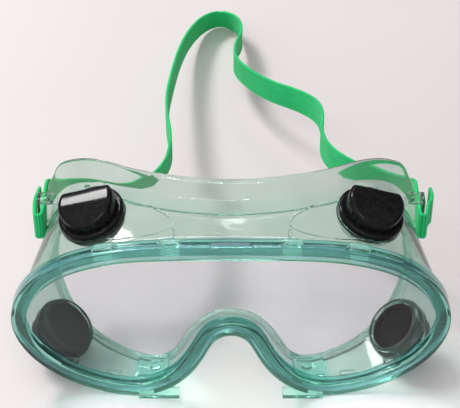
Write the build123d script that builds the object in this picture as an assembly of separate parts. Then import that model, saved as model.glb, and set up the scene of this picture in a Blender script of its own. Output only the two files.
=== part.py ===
from build123d import *
import math
import os

# Chemical-splash safety goggles: a soft clear frame with a snapped-in lens, four round
# indirect vents and an elastic headband threaded through a moulded lug on each side.
# Millimetres. The lens faces -Y, the wearer's face is at +Y, +Z is up, and the goggles
# stand on the two feet under the rim. DESIGN_Y is where the front of the lens bulges to
# in the part's frame; every length along Y below is measured back from that plane.

# ---- driving dimensions -------------------------------------------------------------
DESIGN_Y = -29.0
LENS_RADIUS = 400.0
LENS_THICKNESS = 2.0
RIM_DEPTH = 6.5
RIM_WIDTH = 6.0
LIP_THICKNESS = 2.0
GROOVE_WIDTH = 2.2
CHANNEL_FLOOR = 1.7
LENS_EDGE_GAP = 0.1
WALL = 2.0
WALL_STEP = 2.0
# How far the wall's ends run into the rim and into the flange, to join them.
WALL_INTO_RIM = 0.8
WALL_INTO_FLANGE = 0.4

FACE_RADIUS = 114.0
FACE_DEPTH = 16.7
FACE_LEAN = 0.18

# Outline of the rim seen from the front, from the top centre round the wearer's left
# side to the top of the nose arch.
RIM_HALF = [
    (0, 84), (24, 83), (43, 80.2), (57, 75.4), (69, 68.5), (78.7, 59), (85, 47.8),
    (87.5, 35), (84, 22.5), (74, 11.5), (60, 4.6), (45, 1.6), (33, 2.8), (22.5, 8.8),
    (14.5, 18.3), (9.2, 29), (5, 35.8), (0, 37.8),
]
# Outline of the wall where it meets the face flange, point for point with RIM_HALF.
REAR_HALF = [
    (0, 82.5), (22, 82.7), (40, 83), (52, 82.2), (61.5, 77.3), (68, 69), (72.2, 59),
    (74.5, 46), (73, 31), (67.7, 17.4), (57.5, 8), (44, 4.5), (31, 4.3), (24, 7),
    (18.3, 14.5), (13, 23.2), (7, 28.6), (0, 30.4),
]
# How far the face flange stands out from the wall, and how far it leans back.
FLANGE_WIDTH = [8.5, 8.5, 8, 8.3, 8, 5.6, 3.4, 3, 3.3, 3.6, 3.2, 2, 1.6, 1.5, 1.2, 1, 1, 1]
FLANGE_LEAN = [6, 6, 6, 6, 5, 4, 3, 2.5, 1.5, 1, 1, 1.5, 1.5, 1, 1, 1, 1, 1]
FLANGE_THICKNESS = 1.8
FLANGE_INNER_LIP = 1.0

# Vents: where the outer face of each pad is, and which way it faces, on the +X side.
VENT_PADS = {
    "top": ((54.0, 26.3, 78.3), (0.267, -0.12, 0.956)),
    "bottom": ((69.8, 26.2, 15.6), (0.65, 0.115, -0.751)),
}
PAD_RADIUS = 14.1
PAD_THICKNESS = 2.6
PAD_SKIRT = 6.0
VENT_RADIUS = 13.3
VENT_FLANGE = 2.2
VENT_GAP = 0.1
NECK_RADIUS = 7.8
NECK_CLEARANCE = 0.07
NECK_WALL = 1.5
HOOD_RADIUS = 11.2
HOOD_HEIGHT = 7.2
HOOD_WALL = 1.3
HOOD_CUT = 6.0
HOOD_SHOULDER = 0.88
HOOD_BROW = 0.46
RETAINER_RADIUS = 10.3
RETAINER_THICKNESS = 2.5
RECESS_RADIUS = 7.6
RECESS_DEPTH = 0.5
NECK_ENTRY = 1.5
SEAT_POCKET_GAP = 0.5
SEAT_JOIN = 0.7
AROUND_VENT = 0.5
FLANGE_ROUND = 1.2
HOOD_ROUND = 1.9
RETAINER_ROUND = 0.8

# Headband: a flat elastic band, threaded forward through the lug and doubled back.
BAND_WIDTH = 13.0
BAND_THICKNESS = 1.3
BAND_X = 76.6
BAND_Z = 55.0
PIVOT_Y = 64.0
STRAP_GAP = 0.1
BAND_FAR_Y = 265.0
BAND_FAR_Z = 7.9
# Centreline of the band seen from above, from the wearer's right lug (-X) round behind
# to the left one. Its height falls evenly from the pivots to the far end.
BAND_ROUTE = [
    (-76.6, 64), (-76.6, 70.5), (-68, 69), (-58, 66.5), (-48.5, 67), (-40, 71.5),
    (-33.5, 79), (-29, 89.5), (-26.8, 101.5), (-26.5, 116), (-29, 134.5), (-30, 156.5),
    (-28.5, 182), (-26, 212), (-21.5, 239), (-14.5, 259), (-5, 267.5), (4, 257),
    (6, 238), (2, 220), (2, 202), (10, 184), (20.5, 170.5), (32, 161.5), (40.5, 149.5),
    (42, 134.5), (40, 117.5), (42.5, 102), (51, 88), (60.5, 79), (69, 72.5),
    (76.6, 70.5), (76.6, 64),
]
LUG_FRONT = 51.0
LUG_REAR = 58.0
LUG_INNER_X = 75.4
LUG_PLATE_X = 77.6
LUG_PLATE = 1.5
LUG_BAR = 1.5
LUG_SLOT = 14.0

FOOT_FROM = 21.0
FOOT_TO = 37.5
FOOT_DEPTH = 5.0
FOOT_HEIGHT = 10.0
FOOT_SET_BACK = 0.8
FOOT_BOTTOM = 1.2

# Outside of the rim: a shallow groove along the top shows the lens's edge between
# bridges, and one tab of the lens stands in it at the centre.
EDGE_GROOVE_DEPTH = 1.0
EDGE_GROOVE_REACH = 66.0
BRIDGES = (-48.5, -23.0, 23.0, 48.5)
BRIDGE_LENGTH = 7.0
LENS_TAB_LENGTH = 14.0
LENS_TAB_SUNK = 0.2
# Prisms that are trimmed by something else only have to be longer than what trims them.
TRIM_LENGTH = 120.0
SIDES = {"left": -1, "right": 1}


# ---- outlines and surfaces ----------------------------------------------------------
def normals(points):
    """Outward unit normals of a closed outline that runs clockwise seen from the front."""
    found = []
    for i, _ in enumerate(points):
        ax, az = points[i - 1]
        bx, bz = points[(i + 1) % len(points)]
        length = math.hypot(bx - ax, bz - az)
        found.append((-(bz - az) / length, (bx - ax) / length))
    return found


def full(half):
    """The whole outline from its half: the other side is its mirror image."""
    return half + [(-x, z) for x, z in reversed(half[1:-1])]


def full_values(half):
    return half + list(reversed(half[1:-1]))


def outset(points, distances):
    """Each point moved outward by its own distance, inward where it is negative."""
    moved = []
    for (x, z), (nx, nz), d in zip(points, normals(points), distances):
        moved.append((x + nx * d, z + nz * d))
    return moved


def inset(points, distance):
    return outset(points, [-distance] * len(points))


def lens_sag(x):
    return LENS_RADIUS - math.sqrt(LENS_RADIUS**2 - x**2)


def face_y(x, z):
    """Where the wearer's face surface lies: a leaning cylinder."""
    return FACE_DEPTH + FACE_LEAN * z + FACE_RADIUS - math.sqrt(FACE_RADIUS**2 - x**2)


def on_lens(points, depth):
    return [(x, lens_sag(x) + depth, z) for x, z in points]


def on_face(points, forward):
    return [(x, face_y(x, z) - f, z) for (x, z), f in zip(points, forward)]


def closed_edge(points):
    return Edge.make_spline([Vector(*p) for p in points], periodic=True)


def tube_between(outer_front, outer_rear, inner_front, inner_rear):
    """A ring-shaped solid from four closed edges, with straight walls between them."""
    edges = [closed_edge(p) for p in (outer_front, outer_rear, inner_rear, inner_front)]
    faces = []
    for i in range(4):
        faces.append(Face.make_surface_from_curves(edges[i], edges[(i + 1) % 4]))
    return Solid(Shell(faces))


def plate(points, front, back):
    """What lies inside an outline between two depths behind the lens's front face."""
    flat = [(x, 0, z) for x, z in points]
    profile = Face(Wire([closed_edge(flat)]))
    prism = extrude(profile, amount=TRIM_LENGTH / 2, dir=(0, 1, 0), both=True)
    return prism & lens_slab(front, back)


def lens_slab(front, back):
    centre = Pos(0, LENS_RADIUS, 50)
    outer = centre * Cylinder(LENS_RADIUS - front, 200)
    inner = centre * Cylinder(LENS_RADIUS - back, 220)
    window = Pos(0, 0, 50) * Box(200, 80, 200)
    return (outer - inner) & window


# ---- the soft frame -----------------------------------------------------------------
RIM = full(RIM_HALF)
REAR = full(REAR_HALF)


def make_rim():
    """The channel that holds the lens: a lip in front, a groove and a rear lip."""
    ring = plate(RIM, 0, RIM_DEPTH) - plate(inset(RIM, RIM_WIDTH), -5, 20)
    groove = plate(
        inset(RIM, CHANNEL_FLOOR), LIP_THICKNESS, LIP_THICKNESS + GROOVE_WIDTH
    )
    return ring - [groove, edge_groove(), tab_slot()]


def edge_groove():
    """The shallow groove round the outside of the rim's top, broken by bridges."""
    back = LIP_THICKNESS + GROOVE_WIDTH
    belt = plate(outset(RIM, [2] * len(RIM)), LIP_THICKNESS, back)
    belt = belt & Pos(0, 0, 110) * Box(2 * EDGE_GROOVE_REACH, 80, 100)
    bridges = [Pos(x, 0, 80) * Box(BRIDGE_LENGTH, 80, 40) for x in BRIDGES]
    return belt - [plate(inset(RIM, EDGE_GROOVE_DEPTH), -5, 20), *bridges]


def tab_slot():
    """Where the lens's tab passes out of the channel into the edge groove."""
    back = LIP_THICKNESS + GROOVE_WIDTH
    belt = plate(outset(RIM, [2] * len(RIM)), LIP_THICKNESS, back)
    return belt & Pos(0, 0, 84) * Box(LENS_TAB_LENGTH + 2 * LENS_EDGE_GAP, 40, 20)


def make_wall():
    forward = [lean + WALL_INTO_FLANGE for lean in full_values(FLANGE_LEAN)]
    front = inset(RIM, WALL_STEP)
    front_inner = inset(RIM, WALL_STEP + WALL)
    return tube_between(
        on_lens(front, RIM_DEPTH - WALL_INTO_RIM),
        on_face(REAR, forward),
        on_lens(front_inner, RIM_DEPTH - WALL_INTO_RIM),
        on_face(inset(REAR, WALL), forward),
    )


def make_flange():
    """The soft skirt that meets the face, leaning back from the wall."""
    lean = full_values(FLANGE_LEAN)
    outer = outset(REAR, full_values(FLANGE_WIDTH))
    inner = inset(REAR, WALL + FLANGE_INNER_LIP)
    flat = [0.0] * len(REAR)
    thick = [FLANGE_THICKNESS] * len(REAR)
    return tube_between(
        on_face(outer, thick),
        on_face(outer, flat),
        on_face(inner, [f + FLANGE_THICKNESS for f in lean]),
        on_face(inner, lean),
    )


def vent_planes():
    """A plane on each vent pad: its normal points out, its Y axis up or back."""
    planes = {}
    for level, (point, normal) in VENT_PADS.items():
        for side, sign in SIDES.items():
            origin = (sign * point[0], point[1], point[2])
            out = Vector(sign * normal[0], normal[1], normal[2])
            back = Vector(0, 1, 0)
            across = back.cross(out)
            planes[level + "_" + side] = Plane(origin, x_dir=across, z_dir=out)
    return planes


def disc(plane, radius, low, high):
    """A round plate or pin on a vent's axis between two distances from its pad."""
    return plane * Pos(0, 0, (low + high) / 2) * Cylinder(radius, high - low)


def vent_seats():
    """Flat round seats with a hole for each vent's neck, and what they displace."""
    skirts, cutters, seats = [], [], []
    pocket = RETAINER_RADIUS + SEAT_POCKET_GAP
    hole = NECK_RADIUS + NECK_CLEARANCE
    for plane in VENTS.values():
        ring = disc(plane, PAD_RADIUS, -PAD_SKIRT, 0)
        skirts.append(ring - disc(plane, pocket, -PAD_SKIRT, 0))
        cutters.append(disc(plane, VENT_RADIUS + AROUND_VENT, 0, 12))
        cutters.append(disc(plane, pocket, -14, -PAD_THICKNESS))
        cutters.append(disc(plane, hole, -14, 12))
        seat = disc(plane, pocket + SEAT_JOIN, -PAD_THICKNESS, 0)
        seats.append(seat - disc(plane, hole, -9, 9))
    return skirts, cutters, seats


def make_lug(sign):
    """A belt loop at the temple: an outer plate with a bar above and below the slot."""
    length = LUG_REAR - LUG_FRONT
    middle = (LUG_FRONT + LUG_REAR) / 2
    outer = LUG_PLATE_X + LUG_PLATE
    height = LUG_SLOT + 2 * LUG_BAR
    plate_x = LUG_PLATE_X + LUG_PLATE / 2
    lug = Pos(sign * plate_x, middle, BAND_Z) * Box(LUG_PLATE, length, height)
    for end in (-1, 1):
        z = BAND_Z + end * (LUG_SLOT + LUG_BAR) / 2
        root = LUG_INNER_X - 4
        x = sign * (root + outer) / 2
        lug = lug + Pos(x, middle, z) * Box(outer - root, length, LUG_BAR)
    return lug


def lug_slot(sign):
    """The room that the slot takes out of the face flange's edge."""
    x = sign * (LUG_INNER_X + LUG_PLATE_X) / 2
    middle = (LUG_FRONT + LUG_REAR) / 2
    return Pos(x, middle, BAND_Z) * Box(LUG_PLATE_X - LUG_INNER_X, 14, LUG_SLOT)


def make_foot(sign):
    """A flat grip tab under the rim, beside the nose arch."""
    middle = sign * (FOOT_FROM + FOOT_TO) / 2
    centre = Pos(middle, FOOT_SET_BACK + FOOT_DEPTH / 2, FOOT_BOTTOM + FOOT_HEIGHT / 2)
    return centre * Box(FOOT_TO - FOOT_FROM, FOOT_DEPTH, FOOT_HEIGHT)


def make_frame_shell():
    skirts, cutters, seats = vent_seats()
    slots = [lug_slot(sign) for sign in SIDES.values()]
    lugs = [make_lug(sign) for sign in SIDES.values()]
    hollow = plate(inset(RIM, CHANNEL_FLOOR - 0.4), -10, 30)
    feet = [make_foot(sign) - hollow for sign in SIDES.values()]
    shell = make_rim() + [make_wall(), make_flange(), *skirts]
    shell = shell - [*cutters, *slots]
    return shell + [*seats, *lugs, *feet]


# ---- lens and vents -----------------------------------------------------------------
def make_lens():
    edge = inset(RIM, CHANNEL_FLOOR + LENS_EDGE_GAP)
    gap = (GROOVE_WIDTH - LENS_THICKNESS) / 2
    front = LIP_THICKNESS + gap
    lens = plate(edge, front, front + LENS_THICKNESS)
    tab = plate(inset(RIM, LENS_TAB_SUNK), front, front + LENS_THICKNESS)
    return lens + (tab & Pos(0, 0, 84) * Box(LENS_TAB_LENGTH, 40, 20))


def make_vent_base(plane):
    """The vent's flange and the neck that goes through the frame's seat."""
    flange = disc(plane, VENT_RADIUS, VENT_GAP, VENT_GAP + VENT_FLANGE)
    rim_edges = flange.edges().filter_by(GeomType.CIRCLE).sort_by(
        lambda e: (e.center() - plane.origin).dot(plane.z_dir)
    )
    flange = fillet(rim_edges[-1], FLANGE_ROUND)
    neck = disc(plane, NECK_RADIUS, -PAD_THICKNESS - NECK_ENTRY, VENT_GAP + 0.5)
    bore = disc(plane, NECK_RADIUS - NECK_WALL, -8, 8)
    return flange + neck - bore


def hood_block(plane, radius, height, cut):
    """A cowl: a round post under a roof that is high behind and curves down in front."""
    base = VENT_GAP + VENT_FLANGE
    post = disc(plane, radius, base, base + height + 2)
    start = (cut, base)
    roof_back = (cut, base + height)
    roof_middle = (-0.4 * radius, base + HOOD_SHOULDER * height)
    front_top = (-radius - 0.5, base + HOOD_BROW * height)
    front = (-radius - 0.5, base)
    profile = Polyline(front_top, front, start, roof_back)
    arc = ThreePointArc(roof_back, roof_middle, front_top)
    face = make_face(profile + arc)
    side_plane = Plane(plane.origin, x_dir=plane.y_dir, z_dir=plane.x_dir)
    cowl = extrude(side_plane * face, amount=radius + 2, both=True)
    return post & cowl


def make_vent_hood(plane):
    """A cowl with its mouth behind, so that a splash from in front can't enter."""
    solid = hood_block(plane, HOOD_RADIUS, HOOD_HEIGHT, HOOD_CUT)
    solid = fillet(solid.edges().filter_by(lambda e: is_roof_edge(e, plane)), HOOD_ROUND)
    inner = hood_block(
        plane, HOOD_RADIUS - HOOD_WALL, HOOD_HEIGHT - HOOD_WALL, HOOD_CUT + 5
    )
    return solid - inner


def is_roof_edge(edge, plane):
    height = (edge.center() - plane.origin).dot(plane.z_dir)
    return height > VENT_GAP + VENT_FLANGE + 1


def make_vent_retainer(plane):
    """The cap inside the goggles that grips the neck and hides the opening."""
    top = -PAD_THICKNESS - VENT_GAP
    bottom = top - RETAINER_THICKNESS
    cap = disc(plane, RETAINER_RADIUS, bottom, top)
    edges = cap.edges().filter_by(GeomType.CIRCLE).sort_by(
        lambda e: (e.center() - plane.origin).dot(plane.z_dir)
    )
    cap = fillet(edges[0], RETAINER_ROUND)
    socket = disc(plane, NECK_RADIUS, -PAD_THICKNESS - NECK_ENTRY, 1)
    recess = disc(plane, RECESS_RADIUS, bottom - 1, bottom + RECESS_DEPTH)
    return cap - socket - recess


# ---- headband -----------------------------------------------------------------------
def upright_strip(path):
    """The band's thickness along a path seen from above, as a tall wall."""
    return extrude(trace(path, BAND_THICKNESS), amount=TRIM_LENGTH, both=True)


def between_slopes(front_y, front_z, far_y, far_z):
    """All that lies within half the band's width of a line that falls to the rear."""
    half = BAND_WIDTH / 2
    corners = [(front_y, front_z - half), (far_y, far_z - half),
               (far_y, far_z + half), (front_y, front_z + half)]
    profile = make_face(Polyline(*[(0, y, z) for y, z in corners], close=True))
    return extrude(profile, amount=TRIM_LENGTH, dir=(1, 0, 0), both=True)


def corner_radii(route):
    """0.45 of the shorter run beside each corner, over the tangent of half its turn."""
    radii = []
    for before, here, after in zip(route, route[1:], route[2:]):
        a = Vector(*here) - Vector(*before)
        b = Vector(*after) - Vector(*here)
        turn = math.radians(a.get_angle(b))
        radii.append(0.45 * min(a.length, b.length) / math.tan(turn / 2))
    return radii


def make_headband():
    radii = corner_radii(BAND_ROUTE)
    path = FilletPolyline(*BAND_ROUTE, radius=radii)
    fall = (BAND_Z - BAND_FAR_Z) / (BAND_FAR_Y - PIVOT_Y)
    slopes = between_slopes(PIVOT_Y, BAND_Z, BAND_FAR_Y + 20, BAND_FAR_Z - 20 * fall)
    band = upright_strip(path) & slopes
    print("headband radii", [round(r, 1) for r in radii])
    print("headband plan length", round(path.length, 1))
    print("headband volume", round(band.volume), "section x length",
          round(path.length * BAND_WIDTH * BAND_THICKNESS))
    for x in (BAND_ROUTE[0][0], BAND_ROUTE[-1][0]):
        end = Pos(x, PIVOT_Y, BAND_Z) * Rot(0, 90, 0)
        band = band + end * Cylinder(BAND_WIDTH / 2, BAND_THICKNESS)
    return band


def make_strap_end(sign, tail):
    """The end of the band that is threaded through a lug and doubled back outside it."""
    start = PIVOT_Y - BAND_WIDTH / 2 - STRAP_GAP
    route = [(BAND_X, start), (BAND_X, 49), (BAND_X + 0.4, 46),
             (BAND_X + 2.9, 46), (BAND_X + 3.3, 49)] + tail
    route = [(sign * x, y) for x, y in route]
    path = FilletPolyline(*route, radius=corner_radii(route))
    return upright_strip(path) & between_slopes(40, BAND_Z, 80, BAND_Z)


TAILS = {
    "left": [(80.4, 57), (78.8, 63.5)],
    "right": [(80.0, 53), (83.2, 57), (82.0, 63)],
}

VENTS = vent_planes()
nodes = {"frame_shell": make_frame_shell(), "lens": make_lens()}
for name, plane in VENTS.items():
    nodes["vent_base_" + name] = make_vent_base(plane)
    nodes["vent_hood_" + name] = make_vent_hood(plane)
    nodes["vent_retainer_" + name] = make_vent_retainer(plane)
nodes["headband"] = make_headband()
for side, sign in SIDES.items():
    nodes["strap_end_" + side] = make_strap_end(sign, TAILS[side])

os.makedirs("parts", exist_ok=True)
for name, shape in nodes.items():
    shape = Pos(0, DESIGN_Y, -FOOT_BOTTOM) * shape
    box = shape.bounding_box()
    print(name, len(shape.solids()), [round(v, 2) for v in (*box.min, *box.max)])
    export_step(shape, "parts/" + name + ".step")
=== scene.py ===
import math

import bmesh
import bpy
import numpy as np
from mathutils import Matrix, Vector


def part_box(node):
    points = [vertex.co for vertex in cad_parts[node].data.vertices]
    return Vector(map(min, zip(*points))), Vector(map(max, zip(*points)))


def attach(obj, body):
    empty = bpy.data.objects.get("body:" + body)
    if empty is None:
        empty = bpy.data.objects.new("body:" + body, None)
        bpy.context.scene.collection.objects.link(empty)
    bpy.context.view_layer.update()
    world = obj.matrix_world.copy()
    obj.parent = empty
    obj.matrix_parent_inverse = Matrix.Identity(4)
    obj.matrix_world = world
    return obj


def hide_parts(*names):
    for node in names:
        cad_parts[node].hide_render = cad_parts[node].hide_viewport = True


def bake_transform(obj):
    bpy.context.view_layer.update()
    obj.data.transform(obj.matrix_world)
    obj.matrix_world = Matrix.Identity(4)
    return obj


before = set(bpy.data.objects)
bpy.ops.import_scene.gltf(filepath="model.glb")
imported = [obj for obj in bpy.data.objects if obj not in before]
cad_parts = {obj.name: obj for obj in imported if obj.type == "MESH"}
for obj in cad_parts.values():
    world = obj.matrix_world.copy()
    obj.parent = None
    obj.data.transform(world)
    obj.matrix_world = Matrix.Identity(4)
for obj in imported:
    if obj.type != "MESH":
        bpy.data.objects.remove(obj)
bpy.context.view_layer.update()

# Chemical-splash goggles. Lengths below are in millimetres behind the lens's front plane
# and above the moulding's datum; place() puts them in the frame of the CAD model.
SHELL_LOW, SHELL_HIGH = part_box("frame_shell")
FOOT_BOTTOM = 1.2
ORIGIN = np.array([0.0, SHELL_LOW.y, SHELL_LOW.z - FOOT_BOTTOM / 1000])

# Sections of the rim, the wall and the face's surface.
LENS_RADIUS = 400.0
RIM_DEPTH = 6.5
RIM_WIDTH = 6.0
LIP = 2.0
GROOVE = 2.2
CHANNEL_FLOOR = 1.7
WALL = 2.0
WALL_STEP = 2.0
FACE_RADIUS = 114.0
FACE_DEPTH = 16.7
FACE_LEAN = 0.18
# Outlines as (x, z) over the +X half, from the top round to the nose arch.
RIM_HALF = [
    (0, 84), (24, 83), (43, 80.2), (57, 75.4), (69, 68.5), (78.7, 59), (85, 47.8),
    (87.5, 35), (84, 22.5), (74, 11.5), (60, 4.6), (45, 1.6), (33, 2.8), (22.5, 8.8),
    (14.5, 18.3), (9.2, 29), (5, 35.8), (0, 37.8),
]
REAR_HALF = [
    (0, 82.5), (22, 82.7), (40, 83), (52, 82.2), (61.5, 77.3), (68, 69), (72.2, 59),
    (74.5, 46), (73, 31), (67.7, 17.4), (57.5, 8), (44, 4.5), (31, 4.3), (24, 7),
    (18.3, 14.5), (13, 23.2), (7, 28.6), (0, 30.4),
]
# One value for each point of REAR_HALF: how wide the flange is and how far it stands off.
FLANGE_WIDTH = [8.5, 8.5, 8, 8.3, 8, 5.6, 3.4, 3, 3.3, 3.6, 3.2, 2, 1.6, 1.5, 1.2, 1, 1, 1]
FLANGE_LEAN = [6, 6, 6, 6, 5, 4, 3, 2.5, 1.5, 1, 1, 1.5, 1.5, 1, 1, 1, 1, 1]
FLANGE_THICKNESS = 1.8
FLANGE_INNER_LIP = 1.0
# The bridges across the rim's outside groove, which is only in the upper part.
BRIDGES = (-48.5, -23.0, 23.0, 48.5)
BRIDGE_HALF = 3.6
BRIDGE_RISE = 0.8
GROOVE_REACH = 66.0
UPPER_Z = 60
# Stations to each run between outline points.
PER = 14
WALL_START = RIM_DEPTH - 0.8
FLANGE_INSIDE = WALL + FLANGE_INNER_LIP
LENS_THICKNESS = 2.0
LENS_GAP = 0.1
TAB_HALF = 7
FOOT_X = (21.0, 37.5)
PAD_X = (24.5, 38.0)
BOSS_X = 31.0

# Each level's seat: its middle and its outward normal on the +X side.
VENT_PADS = {
    "top": ((54.0, 26.3, 78.3), (0.267, -0.12, 0.956)),
    "bottom": ((69.8, 26.2, 15.6), (0.65, 0.115, -0.751)),
}
SIDES = {"left": -1, "right": 1}

# The band stands on edge; it falls evenly from the hinge line to the far loop.
BAND_WIDTH = 13.0
BAND_THICKNESS = 1.3
BAND_Z = 55.0
PIVOT_Y = 64.0
BAND_FAR_Y = 265.0
BAND_FAR_Z = 7.9
BAND_RIBS = 19
# Degrees that it leans forward.
LEAN_AT_LUG = 32
LEAN_AT_LOOP = 20
# Between these it is carried partly by the frame and partly by the swinging band.
BAND_ROUTE = [
    (-78.8, 63.5), (-80.4, 57), (-79.9, 49), (-79.5, 46), (-77, 46), (-76.6, 49), (-76.6, 57.4),
    (-76.6, 64), (-76.6, 70.5), (-68, 69), (-58, 66.5), (-48.5, 67), (-40, 71.5),
    (-33.5, 79), (-29, 89.5), (-26.8, 101.5), (-26.5, 116), (-29, 134.5), (-30, 156.5),
    (-28.5, 182), (-26, 212), (-21.5, 239), (-14.5, 259), (-5, 267.5), (4, 257),
    (6, 238), (2, 220), (2, 202), (10, 184), (20.5, 170.5), (32, 161.5), (40.5, 149.5),
    (42, 134.5), (40, 117.5), (42.5, 102), (51, 88), (60.5, 79), (69, 72.5),
    (76.6, 70.5), (76.6, 64), (76.6, 57.4), (76.6, 49), (77, 46), (79.5, 46), (80, 53),
    (83.2, 57), (82, 63),
]

# The fitted camera, in degrees, metres and pixels.
CAMERA_ELEVATION = 44
CAMERA_PITCH_UP = 3.41
CAMERA_DISTANCE = 0.62
CAMERA_TARGET = (0, 0, 57.8)
CAMERA_SHIFT = -0.0004
FOCAL_PIXELS = 1612
PHOTO_WIDTH = 460


def place(points):
    """Design millimetres to metres in the CAD frame."""
    return np.asarray(points, float) / 1000 + ORIGIN


# ---- camera -------------------------------------------------------------------------
def make_camera():
    """The camera fitted to the photograph: square on to the goggles and above them."""
    elevation = math.radians(CAMERA_ELEVATION)
    pitch_up = math.radians(CAMERA_PITCH_UP)
    target = place(CAMERA_TARGET)
    back = np.array([0, -math.cos(elevation), math.sin(elevation)])
    camera = bpy.data.objects.new("camera", bpy.data.cameras.new("camera"))
    bpy.context.scene.collection.objects.link(camera)
    camera.data.sensor_width = 36
    camera.data.lens = FOCAL_PIXELS / PHOTO_WIDTH * 36
    camera.data.clip_start = 0.01
    camera.data.clip_end = 20
    camera.location = target + CAMERA_DISTANCE * back + np.array([CAMERA_SHIFT, 0, 0])
    camera.rotation_euler = (math.pi / 2 - elevation + pitch_up, 0, 0)
    bpy.context.scene.camera = camera


# ---- material helpers ---------------------------------------------------------------
def principled(name, **values):
    """A new material's nodes, links and its Principled shader with plain values set."""
    material = bpy.data.materials.new(name)
    material.use_nodes = True
    nodes, links = material.node_tree.nodes, material.node_tree.links
    shader = nodes["Principled BSDF"]
    for key, value in values.items():
        shader.inputs[key.replace("_", " ")].default_value = value
    return material, nodes, links, shader


def noise(nodes, links, source, scale, detail=4.0, rough=0.5):
    """The value of a noise texture."""
    texture = nodes.new("ShaderNodeTexNoise")
    texture.inputs["Scale"].default_value = scale
    texture.inputs["Detail"].default_value = detail
    texture.inputs["Roughness"].default_value = rough
    links.new(source, texture.inputs["Vector"])
    return texture.outputs["Fac"]


def spread(nodes, links, value, low, high, from_low=0.3, from_high=0.7):
    """The value mapped to run from low to high."""
    ranged = nodes.new("ShaderNodeMapRange")
    ranged.inputs["From Min"].default_value = from_low
    ranged.inputs["From Max"].default_value = from_high
    ranged.inputs["To Min"].default_value = low
    ranged.inputs["To Max"].default_value = high
    links.new(value, ranged.inputs["Value"])
    return ranged.outputs["Result"]


def tints(nodes, links, value, stops):
    """A colour ramp of (position, colour) stops."""
    ramp = nodes.new("ShaderNodeValToRGB")
    ramp.color_ramp.elements[0].position = stops[0][0]
    ramp.color_ramp.elements[0].color = (*stops[0][1], 1)
    ramp.color_ramp.elements[1].position = stops[-1][0]
    ramp.color_ramp.elements[1].color = (*stops[-1][1], 1)
    for position, color in stops[1:-1]:
        ramp.color_ramp.elements.new(position).color = (*color, 1)
    links.new(value, ramp.inputs["Fac"])
    return ramp.outputs["Color"]


def bump(nodes, links, shader, height, strength, distance):
    node = nodes.new("ShaderNodeBump")
    node.inputs["Strength"].default_value = strength
    node.inputs["Distance"].default_value = distance
    links.new(height, node.inputs["Height"])
    links.new(node.outputs["Normal"], shader.inputs["Normal"])


def absorb(nodes, links, color, density):
    """Colour that deepens with the thickness the light goes through."""
    volume = nodes.new("ShaderNodeVolumeAbsorption")
    volume.inputs["Color"].default_value = (*color, 1)
    volume.inputs["Density"].default_value = density
    links.new(volume.outputs["Volume"], nodes["Material Output"].inputs["Volume"])


def pass_light(nodes, links, shader, color):
    """Light from the lamps goes straight through, tinted, so shadows stay pale."""
    path = nodes.new("ShaderNodeLightPath")
    through = nodes.new("ShaderNodeBsdfTransparent")
    through.inputs["Color"].default_value = (*color, 1)
    mix = nodes.new("ShaderNodeMixShader")
    links.new(path.outputs["Is Shadow Ray"], mix.inputs[0])
    links.new(shader.outputs["BSDF"], mix.inputs[1])
    links.new(through.outputs["BSDF"], mix.inputs[2])
    links.new(mix.outputs["Shader"], nodes["Material Output"].inputs["Surface"])


def coords(nodes, kind="Object"):
    return nodes.new("ShaderNodeTexCoord").outputs[kind]


def math_node(nodes, links, operation, a, b=0):
    """The result of a maths node on two sockets or plain numbers."""
    node = nodes.new("ShaderNodeMath")
    node.operation = operation
    for socket, value in zip(node.inputs, (a, b)):
        if isinstance(value, (int, float)):
            socket.default_value = value
        else:
            links.new(value, socket)
    return node.outputs["Value"]


def below(nodes, links, value, limit):
    """1 where the value is under the limit, else 0."""
    return math_node(nodes, links, "LESS_THAN", value, limit)


def near_to(nodes, links, value, middle, reach):
    """1 where the value is within reach of the middle, else 0."""
    offset = math_node(nodes, links, "SUBTRACT", value, middle)
    away = math_node(nodes, links, "ABSOLUTE", offset)
    return below(nodes, links, away, reach)


def both(nodes, links, a, b):
    """1 where both masks are 1."""
    return math_node(nodes, links, "MULTIPLY", a, b)


def wave(nodes, links, source, scale, direction):
    """Slightly wavering bands square to the direction's axis."""
    texture = nodes.new("ShaderNodeTexWave")
    texture.bands_direction = direction
    texture.inputs["Scale"].default_value = scale
    texture.inputs["Distortion"].default_value = 0.25
    texture.inputs["Detail"].default_value = 1.0
    texture.inputs["Detail Scale"].default_value = 2.0
    links.new(source, texture.inputs["Vector"])
    return texture.outputs["Fac"]


def blended(nodes, links, factor, first, second):
    """A colour between two, each a socket or a plain colour."""
    node = nodes.new("ShaderNodeMix")
    node.data_type = "RGBA"
    links.new(factor, node.inputs["Factor"])
    for socket, color in ((node.inputs[6], first), (node.inputs[7], second)):
        if isinstance(color, tuple):
            socket.default_value = (*color, 1)
        else:
            links.new(color, socket)
    return node.outputs[2]


# ---- materials ------------------------------------------------------------------------
def depth_in_rim(nodes, links, source):
    """Metres behind the lens's front surface, and the position's X, Y and Z sockets."""
    parts = nodes.new("ShaderNodeSeparateXYZ")
    links.new(source, parts.inputs[0])
    squared = math_node(nodes, links, "MULTIPLY", parts.outputs["X"], parts.outputs["X"])
    sag = math_node(nodes, links, "MULTIPLY", squared, 500 / LENS_RADIUS)
    behind = math_node(nodes, links, "SUBTRACT", parts.outputs["Y"], float(ORIGIN[1]))
    return math_node(nodes, links, "SUBTRACT", behind, sag), parts.outputs


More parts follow.
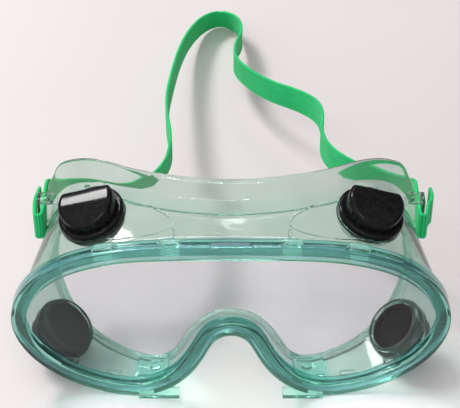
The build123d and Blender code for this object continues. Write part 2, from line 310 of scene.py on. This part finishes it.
def vinyl():
    """Soft translucent vinyl: nearly clear in the walls, teal in the pads and the thick rim.
    The darker lines round the rim between the bridges are painted: a painted view of the lens's
    edge through the rim, and painted shade over the groove and the ridge behind it."""
    material, nodes, links, shader = principled(
        "soft_vinyl", Transmission_Weight=0.97, IOR=1.4
    )
    source = coords(nodes)
    cloud = noise(nodes, links, source, 60)
    clear = tints(nodes, links, cloud, [(0.3, (0.65, 0.755, 0.69)), (0.7, (0.73, 0.815, 0.76))])
    depth, place_in = depth_in_rim(nodes, links, source)
    # Painted lines by depth in the rim: lilac-grey as a painted view of the lens's edge, dark
    # teal as painted shade over the groove and ridge.
    painted_rim_lines = tints(nodes, links, spread(nodes, links, depth, 0, 1, 0, 0.0075), [
        (0.0, (0.54, 0.86, 0.76)), (0.24, (0.48, 0.82, 0.72)), (0.30, (0.38, 0.60, 0.67)),
        (0.52, (0.38, 0.60, 0.67)), (0.58, (0.17, 0.54, 0.48)), (0.84, (0.20, 0.58, 0.51)),
        (1.0, (0.58, 0.86, 0.78)),
    ])
    bridge = None
    for x in BRIDGES:
        near = near_to(nodes, links, place_in["X"], x / 1000, BRIDGE_HALF / 1000)
        bridge = near if bridge is None else math_node(nodes, links, "MAXIMUM", bridge, near)
    upper = math_node(nodes, links, "GREATER_THAN", place_in["Z"], UPPER_Z / 1000)
    bridge = both(nodes, links, bridge, upper)
    across = math_node(nodes, links, "ABSOLUTE", place_in["X"])
    foot = both(nodes, links, near_to(nodes, links, across, 0.0293, 0.0088),
                below(nodes, links, place_in["Z"], 0.0024))
    pad = both(nodes, links, near_to(nodes, links, across, 0.0315, 0.0080),
               below(nodes, links, place_in["Z"], 0.0100))
    pad = both(nodes, links, pad, below(nodes, links, depth, 0.0180))
    clear = blended(nodes, links, pad, clear, (0.50, 0.80, 0.715))
    # On the bridges a plain lighter teal takes the place of the painted lines.
    teal = blended(nodes, links, bridge, painted_rim_lines, (0.52, 0.86, 0.78))
    teal = blended(nodes, links, foot, teal, (0.80, 0.93, 0.89))
    in_wall = spread(nodes, links, depth, 0, 1, 0.0066, 0.0078)
    links.new(blended(nodes, links, in_wall, teal, clear), shader.inputs["Base Color"])
    smear = noise(nodes, links, source, 140, 6)
    links.new(spread(nodes, links, smear, 0.02, 0.09), shader.inputs["Roughness"])
    bump(nodes, links, shader, noise(nodes, links, source, 260, 3), 0.06, 0.0005)
    absorb(nodes, links, (0.30, 0.78, 0.68), 92)
    pass_light(nodes, links, shader, (0.90, 0.91, 0.905))
    return material


def clear_lens():
    """Clear sheet with a faint lilac body, dusted and lightly rubbed."""
    material, nodes, links, shader = principled(
        "clear_lens", Transmission_Weight=1.0, IOR=1.22
    )
    source = coords(nodes)
    haze = noise(nodes, links, source, 45, 5)
    tint = tints(nodes, links, haze, [(0.3, (0.81, 0.815, 0.84)), (0.7, (0.86, 0.865, 0.885))])
    links.new(tint, shader.inputs["Base Color"])
    rubbed = noise(nodes, links, source, 900, 2)
    links.new(spread(nodes, links, rubbed, 0.015, 0.06), shader.inputs["Roughness"])
    bump(nodes, links, shader, noise(nodes, links, source, 30, 2), 0.03, 0.0008)
    absorb(nodes, links, (0.62, 0.58, 0.85), 22)
    pass_light(nodes, links, shader, (0.93, 0.93, 0.935))
    return material


def lens_edge():
    """The sheet's cut edge, finely roughened. Its dark slate blue is painted shade that stands
    in for the dull dark line the edge shows.
    """
    material, nodes, links, shader = principled(
        "lens_edge", Transmission_Weight=0.25, IOR=1.45
    )
    source = coords(nodes)
    cut = noise(nodes, links, source, 350, 4)
    # Dark slate blue: painted shade along the lens's edge.
    tint = tints(nodes, links, cut, [(0.3, (0.10, 0.20, 0.23)), (0.7, (0.20, 0.31, 0.36))])
    links.new(tint, shader.inputs["Base Color"])
    links.new(spread(nodes, links, cut, 0.3, 0.5), shader.inputs["Roughness"])
    bump(nodes, links, shader, cut, 0.15, 0.0003)
    return material


def black_plastic():
    """Glossy moulded black plastic with fine scuffs."""
    material, nodes, links, shader = principled(
        "black_plastic", IOR=1.23
    )
    source = coords(nodes)
    dust = noise(nodes, links, source, 500, 5)
    tint = tints(nodes, links, dust, [
        (0.35, (0.004, 0.004, 0.005)), (0.75, (0.012, 0.012, 0.013)),
    ])
    links.new(tint, shader.inputs["Base Color"])
    scuffs = noise(nodes, links, source, 220, 7, 0.65)
    links.new(spread(nodes, links, scuffs, 0.05, 0.13), shader.inputs["Roughness"])
    bump(nodes, links, shader, noise(nodes, links, source, 160, 3), 0.05, 0.0004)
    return material


def retainer_plastic():
    """Satin black plastic, greyer and finely grained."""
    material, nodes, links, shader = principled("retainer_plastic", IOR=1.24)
    source = coords(nodes)
    grain = noise(nodes, links, source, 240, 4)
    tint = tints(nodes, links, grain, [
        (0.3, (0.008, 0.0065, 0.006)), (0.7, (0.015, 0.0125, 0.011)),
    ])
    links.new(tint, shader.inputs["Base Color"])
    links.new(spread(nodes, links, grain, 0.16, 0.26), shader.inputs["Roughness"])
    bump(nodes, links, shader, grain, 0.03, 0.0002)
    return material


def elastic():
    """Woven elastic webbing: ribs along it, fine picks across it and a soft fuzz."""
    material, nodes, links, shader = principled(
        "elastic_webbing", Roughness=0.75, IOR=1.3, Sheen_Weight=0.08, Sheen_Roughness=0.4
    )
    source = coords(nodes, "UV")
    ribs = wave(nodes, links, source, 0.3, "Y")
    picks = wave(nodes, links, source, 0.33, "X")
    weave = math_node(nodes, links, "MULTIPLY", ribs, picks)
    fuzz = noise(nodes, links, source, 3.0, 6, 0.7)
    wear = noise(nodes, links, source, 0.09, 4)
    mixed = math_node(nodes, links, "MULTIPLY", weave, 0.45)
    for value, share in ((fuzz, 0.55), (wear, 0.25), (picks, 0.14)):
        part = math_node(nodes, links, "MULTIPLY", value, share)
        mixed = math_node(nodes, links, "ADD", mixed, part)
    tint = tints(nodes, links, mixed, [
        (0.22, (0.004, 0.20, 0.055)), (0.5, (0.010, 0.48, 0.14)), (0.8, (0.035, 0.68, 0.25)),
    ])
    links.new(tint, shader.inputs["Base Color"])
    bump(nodes, links, shader, mixed, 0.45, 0.00035)
    return material


def tabletop():
    """Plain pale polished table."""
    material, nodes, links, shader = principled("tabletop", IOR=1.4)
    source = coords(nodes)
    cloud = noise(nodes, links, source, 2.2, 3)
    tint = tints(nodes, links, cloud, [(0.3, (0.63, 0.575, 0.59)), (0.7, (0.69, 0.64, 0.655))])
    links.new(tint, shader.inputs["Base Color"])
    links.new(spread(nodes, links, cloud, 0.32, 0.42), shader.inputs["Roughness"])
    return material


# ---- mesh helpers -------------------------------------------------------------------
def finish_mesh(name, built, material, sharp=38):
    """A bmesh to a linked object: smooth, with the edges over the angle kept sharp."""
    bmesh.ops.recalc_face_normals(built, faces=built.faces)
    limit = math.radians(sharp)
    for face in built.faces:
        face.smooth = True
    for edge in built.edges:
        edge.smooth = edge.calc_face_angle(0) < limit
    mesh = bpy.data.meshes.new(name)
    built.to_mesh(mesh)
    built.free()
    piece = bpy.data.objects.new(name, mesh)
    bpy.context.scene.collection.objects.link(piece)
    mesh.materials.append(material)
    return piece


def sweep(rings):
    """A closed mesh from rings[i][j]: profile point i at station j, closed both ways."""
    built = bmesh.new()
    grid = [[built.verts.new(p) for p in ring] for ring in rings]
    count, along = len(grid), len(grid[0])
    for i in range(count):
        for j in range(along):
            k, n = (i + 1) % count, (j + 1) % along
            built.faces.new((grid[i][j], grid[i][n], grid[k][n], grid[k][j]))
    return built


def lathe(profile, matrix, steps=72):
    """A closed turned mesh from (radius, height) points that begin and end on the axis."""
    built = bmesh.new()
    rings = []
    for radius, height in profile:
        if radius < 1e-6:
            rings.append([built.verts.new(matrix @ Vector((0, 0, height / 1000)))])
            continue
        ring = []
        for s in range(steps):
            a = 2 * math.pi * s / steps
            point = Vector((radius * math.cos(a), radius * math.sin(a), height)) / 1000
            ring.append(built.verts.new(matrix @ point))
        rings.append(ring)
    for low, high in zip(rings, rings[1:]):
        for s in range(steps):
            t = (s + 1) % steps
            if len(low) == 1:
                built.faces.new((low[0], high[s], high[t]))
            elif len(high) == 1:
                built.faces.new((low[s], low[t], high[0]))
            else:
                built.faces.new((low[s], low[t], high[t], high[s]))
    return built


def block(low, high, bevel):
    """A box between two corners in design millimetres, with rounded edges."""
    built = bmesh.new()
    corners = place([low, high])
    bmesh.ops.create_cube(built, size=1)
    for vert in built.verts:
        for axis in range(3):
            vert.co[axis] = corners[0 if vert.co[axis] < 0 else 1][axis]
    if bevel:
        bmesh.ops.bevel(built, geom=list(built.edges), offset=bevel / 1000, segments=3,
                        profile=0.5, affect="EDGES", clamp_overlap=True)
    return built


def mirrored_block(sign, x_range, y_range, z_range, bevel):
    """A block over three ranges in design millimetres, on the side that sign names."""
    low, high = sorted((sign * x_range[0], sign * x_range[1]))
    return block((low, y_range[0], z_range[0]), (high, y_range[1], z_range[1]), bevel)


def joined(parts):
    """One bmesh of several; they are used up."""
    whole = bmesh.new()
    for part in parts:
        mesh = bpy.data.meshes.new("part")
        part.to_mesh(mesh)
        part.free()
        whole.from_mesh(mesh)
        bpy.data.meshes.remove(mesh)
    bmesh.ops.recalc_face_normals(whole, faces=whole.faces)
    return whole


def boolean(base, tool, operation):
    """Both are bmeshes, and both are used up; returns the result as a bmesh."""
    objects = []
    for part in (base, tool):
        bmesh.ops.recalc_face_normals(part, faces=part.faces)
        mesh = bpy.data.meshes.new("boolean")
        part.to_mesh(mesh)
        part.free()
        objects.append(bpy.data.objects.new("boolean", mesh))
        bpy.context.scene.collection.objects.link(objects[-1])
    modifier = objects[0].modifiers.new("boolean", "BOOLEAN")
    modifier.operation = operation
    modifier.solver = "EXACT"
    modifier.object = objects[1]
    graph = bpy.context.evaluated_depsgraph_get()
    result = bpy.data.meshes.new_from_object(objects[0].evaluated_get(graph))
    built = bmesh.new()
    built.from_mesh(result)
    for item in objects:
        mesh = item.data
        bpy.data.objects.remove(item)
        bpy.data.meshes.remove(mesh)
    bpy.data.meshes.remove(result)
    return built


# ---- outlines -----------------------------------------------------------------------
def full(half):
    """A whole outline from its +X half, which begins and ends on the middle line."""
    return half + [(-x, z) for x, z in reversed(half[1:-1])]


def full_values(half):
    """The same, for one value to each outline point."""
    return half + list(reversed(half[1:-1]))


def closed_spline(points):
    """Points on the smooth closed curve through the given ones, PER to each run."""
    p = np.array(points, float)
    count = len(p)
    run = np.linalg.norm(np.roll(p, -1, 0) - p, axis=1)
    system, right = np.zeros((count, count)), np.zeros((count, 2))
    for i in range(count):
        a, b, after = run[i - 1], run[i], (i + 1) % count
        system[i, i - 1] += a / 6
        system[i, i] += (a + b) / 3
        system[i, after] += b / 6
        right[i] = (p[after] - p[i]) / b - (p[i] - p[i - 1]) / a
    bend = np.linalg.solve(system, right)
    out = []
    for i in range(count):
        j = (i + 1) % count
        for s in range(PER):
            t = s / PER
            u = 1 - t
            curve = (u**3 - u) * bend[i] + (t**3 - t) * bend[j]
            out.append(u * p[i] + t * p[j] + run[i] ** 2 / 6 * curve)
    return np.array(out)


def outward(points):
    """Unit vectors out of a closed outline."""
    ahead = np.roll(points, -1, 0) - np.roll(points, 1, 0)
    normal = np.stack([-ahead[:, 1], ahead[:, 0]], 1)
    return normal / np.linalg.norm(normal, axis=1)[:, None]


def stations(values):
    """One value per station from one per outline point, eased between them."""
    v = np.array(full_values(values), float)
    t = np.arange(PER) / PER
    ease = t * t * (3 - 2 * t)
    return (v[:, None] * (1 - ease) + np.roll(v, -1)[:, None] * ease).ravel()


RIM = closed_spline(full(RIM_HALF))
RIM_OUT = outward(RIM)
REAR = closed_spline(full(REAR_HALF))
REAR_OUT = outward(REAR)
WIDE = stations(FLANGE_WIDTH)
LEAN = stations(FLANGE_LEAN)


def lens_sag(x):
    """How far the lens's front falls back at x."""
    return LENS_RADIUS - np.sqrt(LENS_RADIUS**2 - x**2)


def face_y(x, z):
    """Depth of the cylinder that the face flange lies on, which leans back."""
    return FACE_DEPTH + FACE_LEAN * z + FACE_RADIUS - np.sqrt(FACE_RADIUS**2 - x**2)


def at_rim(off, depth):
    """The ring of points that far outside the rim's outline and behind the lens front."""
    flat = RIM + RIM_OUT * np.reshape(off, (-1, 1))
    y = lens_sag(flat[:, 0]) + depth
    return np.stack([flat[:, 0], y, flat[:, 1]], 1)


def at_face(off, forward):
    """The ring that far outside the rear outline and in front of the face's surface."""
    flat = REAR + REAR_OUT * np.reshape(off, (-1, 1))
    y = face_y(flat[:, 0], flat[:, 1]) - forward
    return np.stack([flat[:, 0], y, flat[:, 1]], 1)


# ---- the soft frame -----------------------------------------------------------------
def groove_depth():
    """At each station, the outside groove's depth and how far a bridge stands out."""
    upper = RIM[:, 1] > UPPER_Z
    top = (np.abs(RIM[:, 0]) < GROOVE_REACH) & upper
    bridge = np.zeros(len(RIM), bool)
    for x in BRIDGES:
        bridge |= np.abs(RIM[:, 0] - x) < BRIDGE_HALF
    bridge &= upper
    return np.where(top & ~bridge, 1.0, 0.0), np.where(bridge, BRIDGE_RISE, 0.0)


def frame_rings():
    """The frame's section, point by point: the rim's outside, the wall, the face flange
    and back along the inside to the channel that holds the lens."""
    groove, bridge = groove_depth()
    floor = -CHANNEL_FLOOR
    back = LIP + GROOVE
    inner = -FLANGE_INSIDE

    def lean(off):
        return LEAN * (1 - (off - inner) / (WIDE + FLANGE_INSIDE))

    rings = [
        at_rim(-RIM_WIDTH, 0.6), at_rim(-RIM_WIDTH + 0.2, 0.15), at_rim(-RIM_WIDTH + 0.7, 0),
        at_rim(-3.2, 0.05), at_rim(-1.1, 0), at_rim(-0.45, 0.12), at_rim(-0.1, 0.45),
        at_rim(0, 0.95), at_rim(0, 1.7), at_rim(bridge - 0.05, 1.95),
        at_rim(bridge - groove, 2.15), at_rim(bridge - groove, back - 0.25),
        at_rim(bridge - 0.05, back + 0.1), at_rim(bridge, back + 0.4),
        at_rim(bridge * 0.7, RIM_DEPTH - 0.5), at_rim(-0.25, RIM_DEPTH - 0.12),
        at_rim(-0.8, RIM_DEPTH), at_rim(-WALL_STEP + 0.35, RIM_DEPTH + 0.05),
    ]
    front_out = at_rim(-WALL_STEP, WALL_START)
    rear_out = at_face(0, lean(0) + FLANGE_THICKNESS)
    bead = np.stack([REAR_OUT[:, 0], np.full(len(REAR), -0.8), REAR_OUT[:, 1]], 1)
    for s, rise in ((0.09, 0), (0.2, 0), (0.32, 0), (0.44, 0), (0.56, 0), (0.68, 0), (0.78, 0),
                    (0.86, 0.05), (0.9, 0.3), (0.94, 0.62), (0.98, 0.8)):
        rings.append(front_out * (1 - s) + rear_out * s + bead * rise)
    for s, rise in ((0.08, 0.74), (0.16, 0.4), (0.24, 0.1), (0.34, 0), (0.55, 0), (0.8, 0)):
        off = WIDE * s
        thickness = FLANGE_THICKNESS * (1 - 0.25 * s)
        rings.append(at_face(off, lean(off) + thickness) + bead * rise)
    for cut, forward in ((0.35, 1.25), (0.08, 0.95), (0, 0.6), (0.08, 0.25), (0.4, 0)):
        rings.append(at_face(WIDE - cut, lean(WIDE - cut) + forward))
    for s in (0.75, 0.5, 0.25, 0.05):
        off = WIDE * s
        rings.append(at_face(off, lean(off)))
    rings += [
        at_face(-1.6, lean(-1.6)), at_face(inner + 0.35, LEAN + 0.05),
        at_face(inner + 0.05, LEAN + 0.45), at_face(inner + 0.05, LEAN + 1.3),
        at_face(inner + 0.35, LEAN + FLANGE_THICKNESS),
    ]
    front_in = at_rim(-WALL_STEP - WALL, WALL_START)
    rear_in = at_face(-WALL, LEAN + 2.4)
    for s in (0.98, 0.85, 0.7, 0.55, 0.4, 0.26, 0.14, 0.08):
        rings.append(front_in * (1 - s) + rear_in * s)
    rings += [
        at_rim(-WALL_STEP - WALL - 0.4, RIM_DEPTH), at_rim(-RIM_WIDTH + 0.5, RIM_DEPTH),
        at_rim(-RIM_WIDTH + 0.08, RIM_DEPTH - 0.4), at_rim(-RIM_WIDTH, back + 0.4),
        at_rim(-RIM_WIDTH + 0.25, back), at_rim(floor - 0.2, back), at_rim(floor, back - 0.2),
        at_rim(floor, LIP + 0.2), at_rim(floor - 0.2, LIP), at_rim(-RIM_WIDTH + 0.25, LIP),
        at_rim(-RIM_WIDTH, LIP - 0.3),
    ]
    return [place(ring) for ring in rings]


def vent_matrices():
    """Each vent's axes as in the CAD: Z out of the seat, Y towards the back or up."""
    matrices = {}
    for level, (point, normal) in VENT_PADS.items():
        for side, sign in SIDES.items():
            out = Vector((sign * normal[0], normal[1], normal[2])).normalized()
            across = Vector((0, 1, 0)).cross(out).normalized()
            back = out.cross(across)
            matrix = Matrix((across, back, out)).transposed().to_4x4()
            matrix.translation = Vector(place((sign * point[0], point[1], point[2])))
            matrices[level + "_" + side] = matrix
    return matrices


VENTS = vent_matrices()


def rim_block(x, upper, off, depth, size, bevel):
    """A small rounded block on the rim: size is along it, front to back and outward."""
    level = RIM[:, 1] > 45 if upper else RIM[:, 1] < 30
    near = int(np.argmin(np.abs(RIM[:, 0] - x) + np.where(level, 0, 1e3)))
    nx, nz = RIM_OUT[near]
    px, pz = RIM[near] + RIM_OUT[near] * off
    middle = Vector(place((px, lens_sag(px) + depth, pz)))
    turned = Matrix(((nz, 0, -nx), (0, 1, 0), (nx, 0, nz))).transposed()
    built = bmesh.new()
    bmesh.ops.create_cube(built, size=1)
    for vert in built.verts:
        vert.co = Vector(c * length / 1000 for c, length in zip(vert.co, size))
    bmesh.ops.bevel(built, geom=list(built.edges), offset=bevel / 1000, segments=2,
                    profile=0.5, affect="EDGES", clamp_overlap=True)
    for vert in built.verts:
        vert.co = middle + turned @ vert.co
    return built


def oval_bead(sign):
    """The raised oval line on the wall that runs round a top vent and on inwards."""
    lean = LEAN * (1 - FLANGE_INSIDE / (WIDE + FLANGE_INSIDE))
    front = at_rim(-WALL_STEP, WALL_START)
    rear = at_face(0, lean + FLANGE_THICKNESS)
    top = np.where(front[:, 2] > UPPER_Z)[0]
    order = top[np.argsort(front[top, 0])]
    line = []
    for turn in np.linspace(0, 2 * np.pi, 96, endpoint=False):
        x = sign * (44 + 20.5 * math.cos(turn))
        s = 0.53 + 0.38 * math.sin(turn)
        near, far = (
            np.array([np.interp(x, front[order, 0], edge[order, axis]) for axis in range(3)])
            for edge in (front, rear)
        )
        line.append(near * (1 - s) + far * s)
    line = np.array(line)
    ahead = np.roll(line, -1, 0) - np.roll(line, 1, 0)
    ahead /= np.linalg.norm(ahead, axis=1)[:, None]
    side = np.cross(ahead, (0, 0, 1))
    side /= np.linalg.norm(side, axis=1)[:, None]
    up = np.cross(side, ahead)
    rings = []
    for a in np.linspace(0, 2 * np.pi, 8, endpoint=False):
        rings.append(place(line + 0.55 * math.cos(a) * side + 0.38 * math.sin(a) * up))
    return sweep(rings)


def floor_block(sign):
    """The raised pad and round boss on the inside of the frame, over each grip tab."""
    pad = mirrored_block(sign, PAD_X, (8.4, 19.0), (4.6, 8.1), 0.5)
    middle = Matrix.Translation(Vector(place((sign * BOSS_X, 13.0, 8.1))))
    dished = [(0, -1), (2.3, -1), (2.3, 0.9), (2.0, 1.25), (1.2, 1.3), (1.0, 0.8), (0, 0.7)]
    return [pad, lathe(dished, middle, 32)]


def make_frame(material):
    """The moulding: section swept round, seats and lug slots, then the small details."""
    shell = sweep(frame_rings())
    seat = [(0, -6), (11.6, -6), (11.9, -5.6), (11.9, -2.9), (13.2, -2.2), (13.4, -2.0),
            (13.4, -0.3), (13.2, 0), (0, 0)]
    seats = [lathe(seat, m) for m in VENTS.values()]
    shell = boolean(shell, joined(seats), "UNION")
    steps = [(0, -15), (10.8, -15), (10.8, -2.6), (7.87, -2.6), (7.87, 0), (13.8, 0),
             (13.8, 12), (0, 12)]
    cutters = [lathe(steps, m) for m in VENTS.values()]
    for sign in SIDES.values():
        cutters.append(mirrored_block(sign, (75.4, 77.6), (44, 64), (48, 62), 0))
    shell = boolean(shell, joined(cutters), "DIFFERENCE")
    added = []
    for sign in SIDES.values():
        added.append(mirrored_block(sign, (77.6, 79.1), (51, 58), (46.5, 63.5), 0.45))
        for low in (46.6, 62.0):
            bar_z = (low, low + 1.4)
            added.append(mirrored_block(sign, (71.5, 78.9), (51.2, 57.8), bar_z, 0.3))
        added.append(mirrored_block(sign, FOOT_X, (0.8, 5.8), (FOOT_BOTTOM, 3.4), 0.3))
        added += floor_block(sign)
        added.append(rim_block(sign * 23, True, -1.2, 9.6, (1.1, 5.2, 2.2), 0.3))
        for x in (48, 67):
            added.append(rim_block(sign * x, False, -4.4, 7.6, (6.5, 3.0, 1.8), 0.3))
        added.append(oval_bead(sign))
    for tool in added:
        shell = boolean(shell, tool, "UNION")
    piece = finish_mesh("soft_frame", shell, material)
    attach(piece, "frame")
    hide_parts("frame_shell")


# ---- the lens -----------------------------------------------------------------------
def make_lens(material, edge_material):
    """A curved sheet cut to the channel, with one tab up into the rim's top groove."""
    tab = (np.abs(RIM[:, 0]) < TAB_HALF) & (RIM[:, 1] > UPPER_Z)
    edge = RIM + RIM_OUT * np.where(tab, -0.25, -CHANNEL_FLOOR - LENS_GAP)[:, None]
    built = bmesh.new()
    built.faces.new([built.verts.new((x / 1000, 0, z / 1000)) for x, z in edge])
    cuts = [((x / 1000, 0, 0), (1, 0, 0)) for x in np.arange(-84, 85, 2.0)]
    cuts += [((0, 0, z / 1000), (0, 0, 1)) for z in np.arange(4, 84, 4.0)]
    for point, normal in cuts:
        bmesh.ops.bisect_plane(built, geom=[*built.verts, *built.edges, *built.faces],
                               plane_co=point, plane_no=normal)
    front = list(built.faces)
    copy = bmesh.ops.extrude_face_region(built, geom=front)
    moved = [v for v in copy["geom"] if isinstance(v, bmesh.types.BMVert)]
    for vert in built.verts:
        x = vert.co.x * 1000
        vert.co.y = (lens_sag(x) + LIP + LENS_GAP) / 1000
    for vert in moved:
        vert.co.y += LENS_THICKNESS / 1000
    for vert in built.verts:
        vert.co += Vector(ORIGIN)
    built.normal_update()
    for face in built.faces:
        face.material_index = 1 if abs(face.normal.y) < 0.5 else 0
    piece = finish_mesh("lens_sheet", built, material)
    piece.data.materials.append(edge_material)
    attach(piece, "frame")
    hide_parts("lens")


# ---- headband -----------------------------------------------------------------------
def band_line():
    """Points along the band's centre, from the smooth curve of its route."""
    fall = (BAND_Z - BAND_FAR_Z) / (BAND_FAR_Y - PIVOT_Y)
    route = [(x, y, BAND_Z - fall * max(y - PIVOT_Y, 0)) for x, y in BAND_ROUTE]
    curve = bpy.data.curves.new("band_line", "CURVE")
    curve.dimensions = "3D"
    curve.resolution_u = 24
    spline = curve.splines.new("NURBS")
    spline.points.add(len(route) - 1)
    for point, where in zip(spline.points, place(route)):
        point.co = (*where, 1)
    spline.order_u = 3
    spline.use_endpoint_u = True
    holder = bpy.data.objects.new("band_line", curve)
    bpy.context.scene.collection.objects.link(holder)
    bpy.context.view_layer.update()
    mesh = bpy.data.meshes.new_from_object(holder)
    line = np.array([vert.co for vert in mesh.vertices])
    bpy.data.objects.remove(holder)
    bpy.data.curves.remove(curve)
    bpy.data.meshes.remove(mesh)
    return line


def band_section():
    """(across, through) in millimetres: lengthwise ribs between two thicker selvedges."""
    half, deep = BAND_WIDTH / 2, BAND_THICKNESS / 2
    across = np.linspace(-half + 0.35, half - 0.35, BAND_RIBS)
    through = np.where(np.arange(BAND_RIBS) % 2 == 0, deep, deep - 0.12)
    side = list(zip(across, through))
    return [(-half, 0.25), *side, (half, 0.25), (half, -0.25),
            *[(a, -t) for a, t in reversed(side)], (-half, -0.25)]


def eased(values, low, high):
    """0 up to low, 1 from high, and a smooth rise between them."""
    t = np.clip((values - low) / (high - low), 0, 1)
    return t * t * (3 - 2 * t)


def make_headband(material):
    """The whole band with its threaded ends, standing on edge and leaning in places."""
    line = band_line()
    ahead = np.gradient(line, axis=0)
    ahead /= np.linalg.norm(ahead, axis=1)[:, None]
    along = np.concatenate([[0], np.cumsum(np.linalg.norm(np.diff(line, axis=0), axis=1))])
    back = line[:, 1] - ORIGIN[1]
    tip = np.radians(LEAN_AT_LOOP) * eased(back, 0.150, 0.235)
    by_lug = eased(line[:, 0], -0.064, -0.048) * (1 - eased(line[:, 0], -0.024, -0.010))
    tip += np.radians(LEAN_AT_LUG) * by_lug * (1 - eased(back, 0.088, 0.125))
    up = np.stack([0 * tip, -np.sin(tip), np.cos(tip)], 1)
    up -= ahead * np.sum(up * ahead, axis=1)[:, None]
    up /= np.linalg.norm(up, axis=1)[:, None]
    out = np.cross(ahead, up)
    section = band_section()
    built = bmesh.new()
    layer = built.loops.layers.uv.new("UVMap")
    grid = []
    for centre, u, o in zip(line, up, out):
        grid.append([built.verts.new(centre + (u * a + o * t) / 1000) for a, t in section])
    count = len(section)
    for i in range(len(grid) - 1):
        for j in range(count):
            k = (j + 1) % count
            corners = ((i, j), (i + 1, j), (i + 1, k), (i, k))
            face = built.faces.new([grid[a][b] for a, b in corners])
            for loop, (a, b) in zip(face.loops, corners):
                loop[layer].uv = (along[a] * 1000, section[b][0])
    for end in (grid[0], grid[-1]):
        built.faces.new(end)
    piece = finish_mesh("elastic_headband", built, material, 50)
    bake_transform(piece)
    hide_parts("headband", "strap_end_left", "strap_end_right")


# ---- surroundings -------------------------------------------------------------------
def make_floor(material):
    """The table, a hair under the goggles' feet."""
    built = bmesh.new()
    bmesh.ops.create_grid(built, x_segments=4, y_segments=4, size=1.6)
    for vert in built.verts:
        vert.co.z += SHELL_LOW.z - 0.0002
    floor = finish_mesh("floor", built, material)


def softbox(name, where, target, size, power, color):
    """A rectangular lamp aimed at a point."""
    light = bpy.data.lights.new(name, "AREA")
    light.shape = "RECTANGLE"
    light.size, light.size_y = size
    light.energy = power
    light.color = color
    lamp = bpy.data.objects.new(name, light)
    bpy.context.scene.collection.objects.link(lamp)
    lamp.location = where
    lamp.rotation_euler = (Vector(target) - Vector(where)).to_track_quat("-Z", "Y").to_euler()


def make_world():
    """A bright room in front and overhead, and a darker wall behind the goggles."""
    world = bpy.data.worlds.new("studio")
    bpy.context.scene.world = world
    world.use_nodes = True
    nodes, links = world.node_tree.nodes, world.node_tree.links
    turned = nodes.new("ShaderNodeVectorMath")
    turned.operation = "DOT_PRODUCT"
    turned.inputs[1].default_value = (-0.30, -0.62, 0.72)
    links.new(coords(nodes, "Generated"), turned.inputs[0])
    sky = tints(nodes, links, turned.outputs["Value"], [
        (0.0, (0.20, 0.21, 0.205)), (0.35, (0.36, 0.38, 0.37)), (0.62, (0.92, 0.92, 0.915)),
        (1.0, (1.38, 1.35, 1.33)),
    ])
    links.new(sky, nodes["Background"].inputs["Color"])
    nodes["Background"].inputs["Strength"].default_value = 0.80


def make_lights():
    make_world()
    softbox("key", (-0.48, 0.48, 0.82), (0, 0.06, 0), (0.30, 0.18), 7.3, (1, 0.985, 0.97))
    softbox("strip", (-0.12, -0.55, 0.85), (0, 0, 0.05), (0.6, 0.025), 1.6, (1, 1, 1))
    softbox("window", (-0.10, 0.75, 0.80), (0, 0, 0.05), (0.55, 0.05), 1.0, (0.97, 0.98, 1))
    bpy.context.scene.view_settings.view_transform = "Standard"


make_camera()
make_headband(elastic())
make_frame(vinyl())
make_lens(clear_lens(), lens_edge())
glossy, satin = black_plastic(), retainer_plastic()
for name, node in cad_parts.items():
    if name.startswith("vent_"):
        finish = satin if "retainer" in name else glossy
        node.data.materials.clear()
        node.data.materials.append(finish)
make_floor(tabletop())
make_lights()
